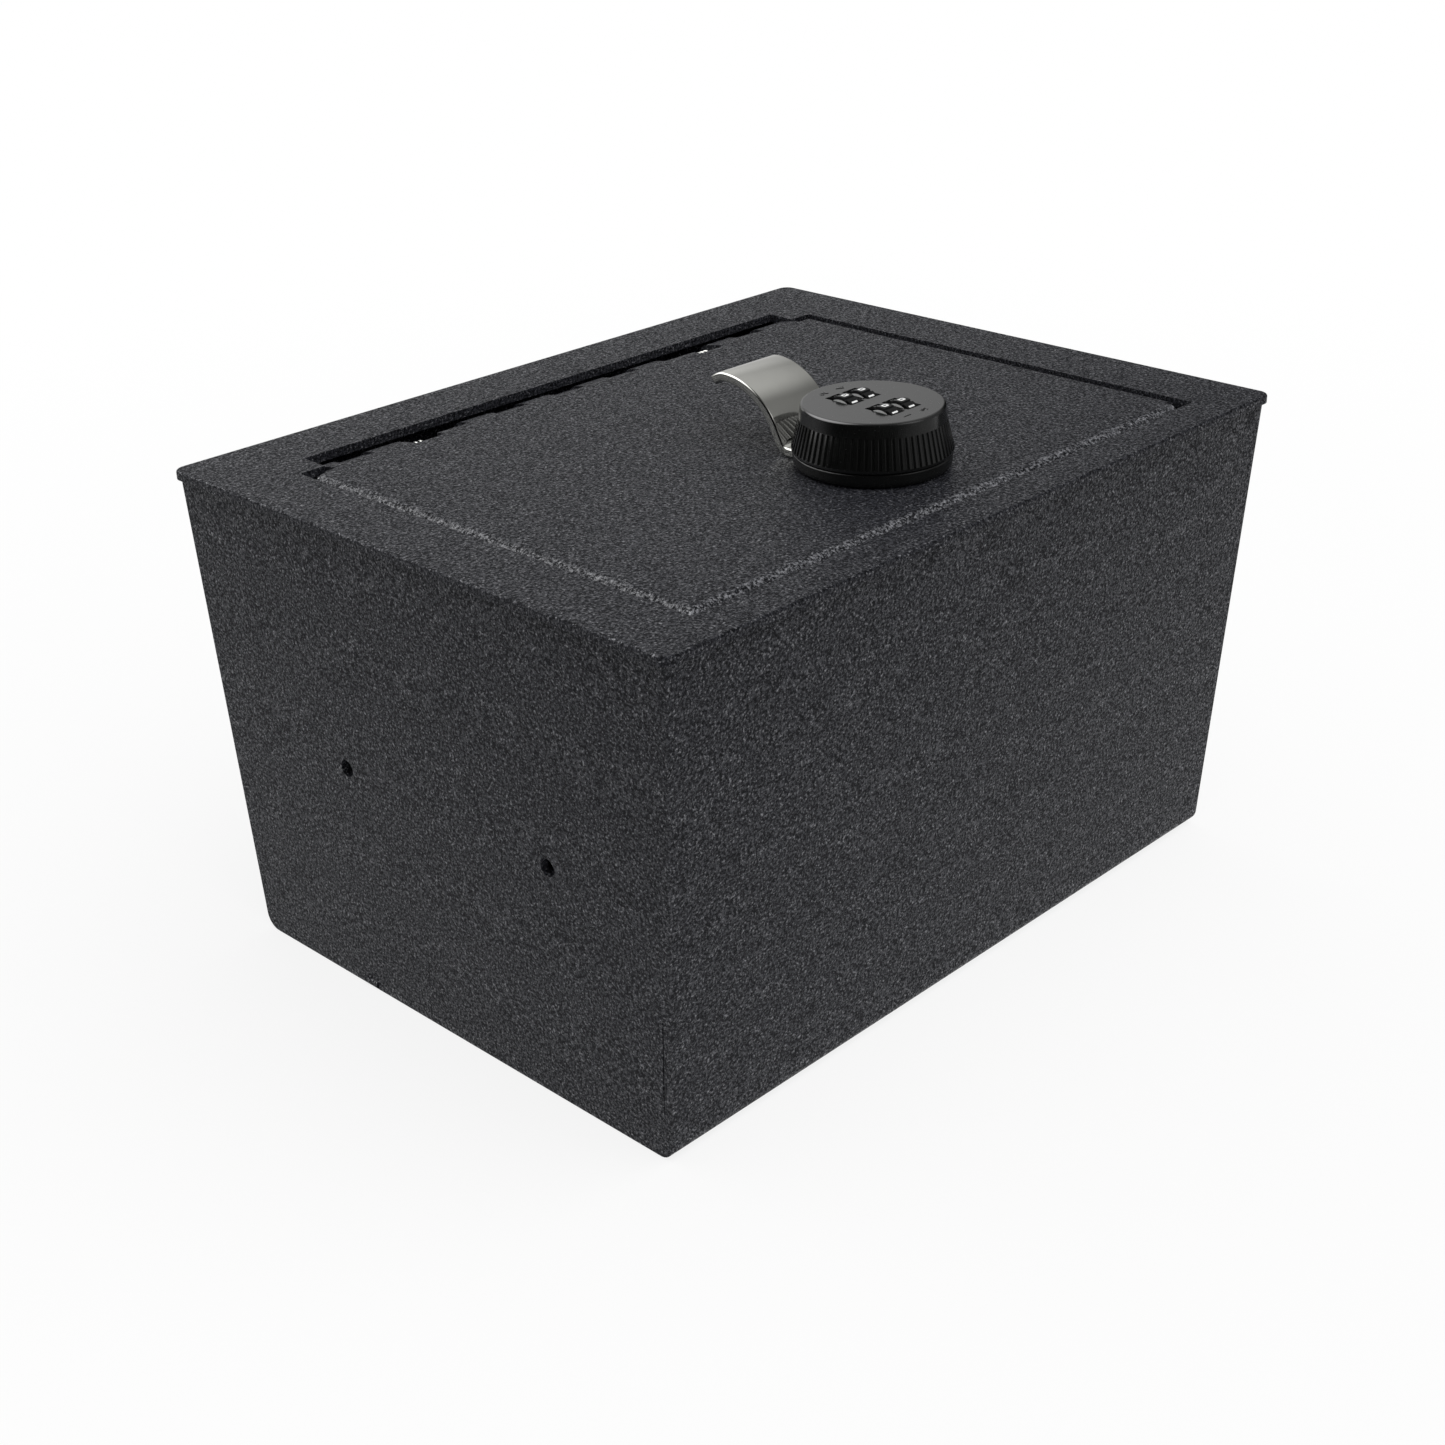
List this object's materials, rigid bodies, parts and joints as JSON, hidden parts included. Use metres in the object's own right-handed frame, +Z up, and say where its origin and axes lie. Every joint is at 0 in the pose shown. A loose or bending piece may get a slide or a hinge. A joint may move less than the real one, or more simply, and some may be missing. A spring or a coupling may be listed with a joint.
{
  "type": "cash box",
  "caption": "Steel cash box with slightly tapered folded walls, a drop-in lid on a sprung finger hinge, a curved finger pull and a ribbed knob with number wheels that draws the latch.",
  "frame": {"origin": "centre of the underside, on the surface the box stands on", "axes": "+Z up, X along the box's length, the lock at the front towards -Y and the hinge at the back"},
  "size_m": [0.27, 0.207, 0.1762],
  "materials": {
    "coat": "fine textured black powder coat, matt with a light grain",
    "handle_chrome": "polished chrome plate",
    "lock_black": "semi-gloss black",
    "knob_black": "satin black, moulded ribs",
    "wheel_black": "satin black with white numbers",
    "pin_steel": "ground steel rod",
    "spring_steel": "bright drawn wire",
    "zinc": "zinc plated"
  },
  "bodies": {
    "box": {"body_wrap": "coat", "end_panel_left": "coat", "end_panel_right": "coat", "rim_plate": "coat", "hinge_leaf": "coat", "hinge_pin": "pin_steel", "lid_stop_left": "coat", "lid_stop_right": "coat", "spring_left": "spring_steel", "spring_right": "spring_steel"},
    "lid": {"lid_panel": "coat", "handle": "handle_chrome", "lock_body": "lock_black", "lock_washer": "zinc", "lock_nut": "zinc", "latch_guide_left": "zinc", "latch_guide_right": "zinc"},
    "knob": {"knob_shell": "knob_black", "lock_core": "lock_black", "wheel_axle_front": "pin_steel", "wheel_axle_rear": "pin_steel", "detent_springs": "spring_steel", "cam": "zinc", "cam_screw": "zinc", "drive_pin": "pin_steel"},
    "wheel_1": {"number_wheel_1": "wheel_black"},
    "wheel_2": {"number_wheel_2": "wheel_black"},
    "wheel_3": {"number_wheel_3": "wheel_black"},
    "wheel_4": {"number_wheel_4": "wheel_black"},
    "latch": {"latch_bar": "zinc"}
  },
  "joints": [
    {"name": "lid_hinge", "type": "hinge", "parent": "box", "child": "lid", "pos_m": [0, 0.07354, 0.14924], "axis": [-1, 0, 0], "range_deg": [0, 93], "stiffness_Nm_per_rad": 0.12, "springref_deg": 94.54, "deforming": ["spring_left", "spring_right"]},
    {"name": "knob_turn", "type": "hinge", "parent": "lid", "child": "knob", "pos_m": [0.0025, -0.0508, 0.1555], "axis": [0, 0, -1], "range_deg": [0, 90]},
    {"name": "latch_slide", "type": "slide", "parent": "lid", "child": "latch", "axis": [0, -1, 0], "range_m": [0, 0.01]},
    {"name": "wheel_turn_1", "type": "hinge", "parent": "knob", "child": "wheel_1", "pos_m": [-0.0012, -0.0433, 0.16905], "axis": [1, 0, 0], "continuous": true},
    {"name": "wheel_turn_2", "type": "hinge", "parent": "knob", "child": "wheel_2", "pos_m": [0.0062, -0.0433, 0.16905], "axis": [1, 0, 0], "continuous": true},
    {"name": "wheel_turn_3", "type": "hinge", "parent": "knob", "child": "wheel_3", "pos_m": [-0.0012, -0.0583, 0.16905], "axis": [1, 0, 0], "continuous": true},
    {"name": "wheel_turn_4", "type": "hinge", "parent": "knob", "child": "wheel_4", "pos_m": [0.0062, -0.0583, 0.16905], "axis": [1, 0, 0], "continuous": true}
  ],
  "couplings": [
    {"joint": "latch_slide", "follows": "knob_turn", "m_per_rad": 0.0063022}
  ]
}
